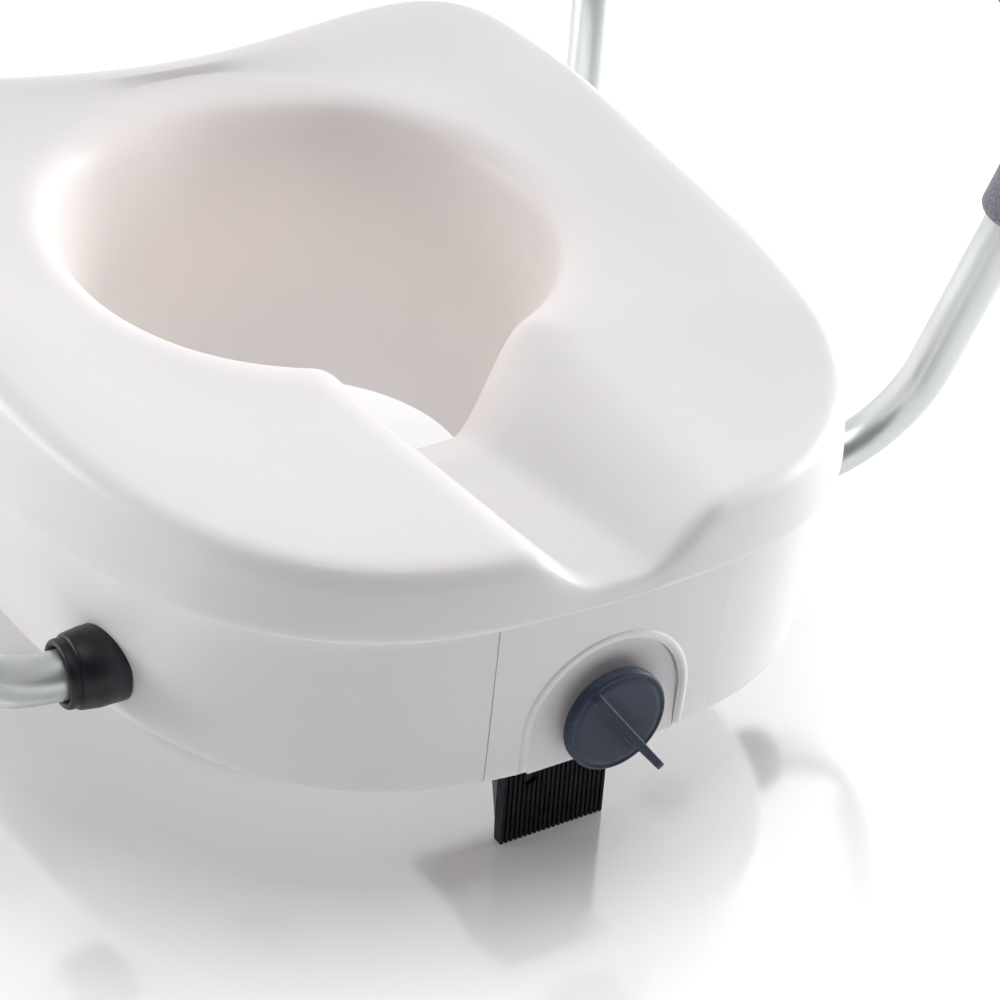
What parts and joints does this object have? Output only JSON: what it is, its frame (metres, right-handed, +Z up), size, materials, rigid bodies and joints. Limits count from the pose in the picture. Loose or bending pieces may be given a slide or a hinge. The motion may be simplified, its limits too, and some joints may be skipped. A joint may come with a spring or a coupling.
{
  "type": "raised toilet seat",
  "caption": "Moulded riser that clamps to a toilet bowl with a front screw knob and carries removable padded side arms.",
  "frame": {"origin": "centre of the footprint, at the level of the lower ends of the clamp pad and rear hooks", "axes": "+Z up, -Y towards the knob at the front, +X to the right seen from the back"},
  "size_m": [0.5788, 0.476, 0.351],
  "materials": {
    "white_shell": "satin",
    "white_nylon": "satin",
    "steel": "satin",
    "brass": "satin",
    "slate_plastic": "satin",
    "black_plastic": "satin",
    "black_rubber": "matte",
    "white_rubber": "matte",
    "satin_aluminium": "satin",
    "grey_foam": "matte"
  },
  "bodies": {
    "seat": {"seat_top": "white_shell", "base_skirt": "white_shell", "front_panel": "white_shell", "lock_plate": "white_shell", "screw_bush": "white_nylon", "thrust_washer": "steel", "rear_hook": "white_shell", "guide_rail_left": "white_shell", "hook_pad_left": "black_rubber", "socket_sleeve_front_left": "white_shell", "collar_front_left": "black_plastic", "rim_foot_front_left": "white_rubber", "socket_sleeve_rear_left": "white_shell", "collar_rear_left": "black_plastic", "rim_foot_rear_left": "white_rubber", "guide_rail_right": "white_shell", "hook_pad_right": "black_rubber", "socket_sleeve_front_right": "white_shell", "collar_front_right": "black_plastic", "rim_foot_front_right": "white_rubber", "socket_sleeve_rear_right": "white_shell", "collar_rear_right": "black_plastic", "rim_foot_rear_right": "white_rubber", "rail_screw_front_left": "steel", "rail_screw_front_right": "steel", "rail_screw_back_left": "steel", "rail_screw_back_right": "steel", "lock_screw_low_left": "steel", "lock_screw_low_right": "steel", "lock_screw_high_left": "steel", "lock_screw_high_right": "steel"},
    "knob": {"knob": "slate_plastic", "clamp_screw": "steel", "retaining_clip": "steel"},
    "clamp": {"clamp_carriage": "slate_plastic", "carriage_nut": "brass", "grip_pad": "black_rubber", "pad_rivet_left": "black_plastic", "pad_rivet_right": "black_plastic"},
    "left_arm": {"arm_tube_left": "satin_aluminium", "arm_grip_left": "grey_foam", "tube_plug_front_left": "black_plastic", "tube_plug_rear_left": "black_plastic"},
    "right_arm": {"arm_tube_right": "satin_aluminium", "arm_grip_right": "grey_foam", "tube_plug_front_right": "black_plastic", "tube_plug_rear_right": "black_plastic"}
  },
  "joints": [
    {"name": "knob_turn", "type": "hinge", "parent": "seat", "child": "knob", "pos_m": [0, -0.2, 0.085], "axis": [0, 1, 0], "range_deg": [-3781, 721]},
    {"name": "clamp_slide", "type": "slide", "parent": "seat", "child": "clamp", "axis": [0, -1, 0], "range_m": [-0.042, 0.008]},
    {"name": "left_arm_slide", "type": "slide", "parent": "seat", "child": "left_arm", "axis": [-1, 0, 0], "range_m": [0, 0.084]},
    {"name": "right_arm_slide", "type": "slide", "parent": "seat", "child": "right_arm", "axis": [1, 0, 0], "range_m": [0, 0.084]}
  ],
  "couplings": [
    {"joint": "knob_turn", "follows": "clamp_slide", "rad_per_m": 1570.8}
  ]
}
